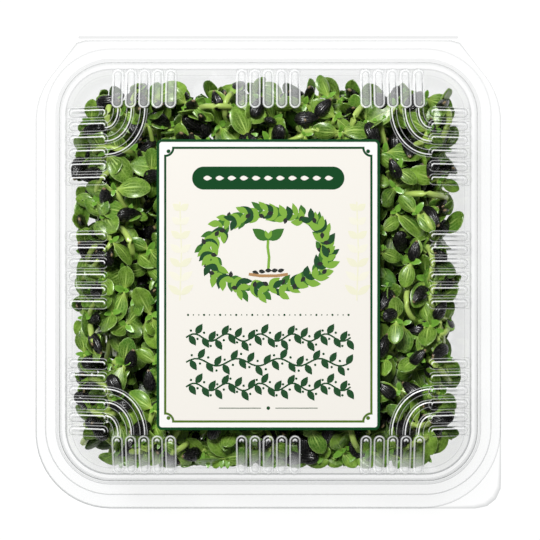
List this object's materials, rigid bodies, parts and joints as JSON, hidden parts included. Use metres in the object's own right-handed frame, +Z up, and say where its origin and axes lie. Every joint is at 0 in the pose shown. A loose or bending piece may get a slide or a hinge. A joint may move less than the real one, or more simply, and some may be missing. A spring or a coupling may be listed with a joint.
{
  "type": "clamshell tray of sunflower microgreens",
  "caption": "Square clear hinged clamshell tray with a ribbed domed lid and a paper label, filled with cut sunflower shoots and seed hulls.",
  "frame": {"origin": "on the surface the tray stands on, under the middle of its bounding box", "axes": "+Z up, +Y towards the hinge, +X to the right when the lift tab is nearest on the right"},
  "size_m": [0.228, 0.232, 0.0602],
  "materials": {
    "clear_plastic": "clear glossy thermoformed sheet",
    "label_paper": "coated paper, cream with dark green print",
    "shoot_green": "moist satin leaves and pale translucent stems",
    "hull_black": "dry ridged seed hull, black with grey streaks"
  },
  "bodies": {
    "tray": {"tray_base": "clear_plastic", "living_hinge": "clear_plastic", "shoot_01": "shoot_green", "shoot_02": "shoot_green", "shoot_03": "shoot_green", "shoot_04": "shoot_green", "shoot_05": "shoot_green", "shoot_06": "shoot_green", "shoot_07": "shoot_green", "shoot_08": "shoot_green", "shoot_09": "shoot_green", "shoot_10": "shoot_green", "shoot_11": "shoot_green", "shoot_12": "shoot_green", "shoot_13": "shoot_green", "shoot_14": "shoot_green", "shoot_15": "shoot_green", "shoot_16": "shoot_green", "shoot_17": "shoot_green", "shoot_18": "shoot_green", "shoot_19": "shoot_green", "shoot_20": "shoot_green", "shoot_21": "shoot_green", "shoot_22": "shoot_green", "shoot_23": "shoot_green", "shoot_24": "shoot_green", "shoot_25": "shoot_green", "shoot_26": "shoot_green", "shoot_27": "shoot_green", "shoot_28": "shoot_green", "shoot_29": "shoot_green", "shoot_30": "shoot_green", "shoot_31": "shoot_green", "shoot_32": "shoot_green", "shoot_33": "shoot_green", "shoot_34": "shoot_green", "shoot_35": "shoot_green", "shoot_36": "shoot_green", "shoot_37": "shoot_green", "shoot_38": "shoot_green", "shoot_39": "shoot_green", "shoot_40": "shoot_green", "shoot_41": "shoot_green", "shoot_42": "shoot_green", "shoot_43": "shoot_green", "shoot_44": "shoot_green", "shoot_45": "shoot_green", "shoot_46": "shoot_green", "shoot_47": "shoot_green", "shoot_48": "shoot_green", "shoot_49": "shoot_green", "seed_hull_04": "hull_black", "seed_hull_11": "hull_black", "seed_hull_18": "hull_black", "seed_hull_25": "hull_black", "seed_hull_32": "hull_black", "seed_hull_39": "hull_black", "seed_hull_46": "hull_black"},
    "lid": {"lid": "clear_plastic", "label": "label_paper"}
  },
  "joints": [
    {"name": "lid_hinge", "type": "hinge", "parent": "tray", "child": "lid", "pos_m": [0, 0.1148, 0.04415], "axis": [-1, 0, 0], "range_deg": [0, 180]}
  ]
}
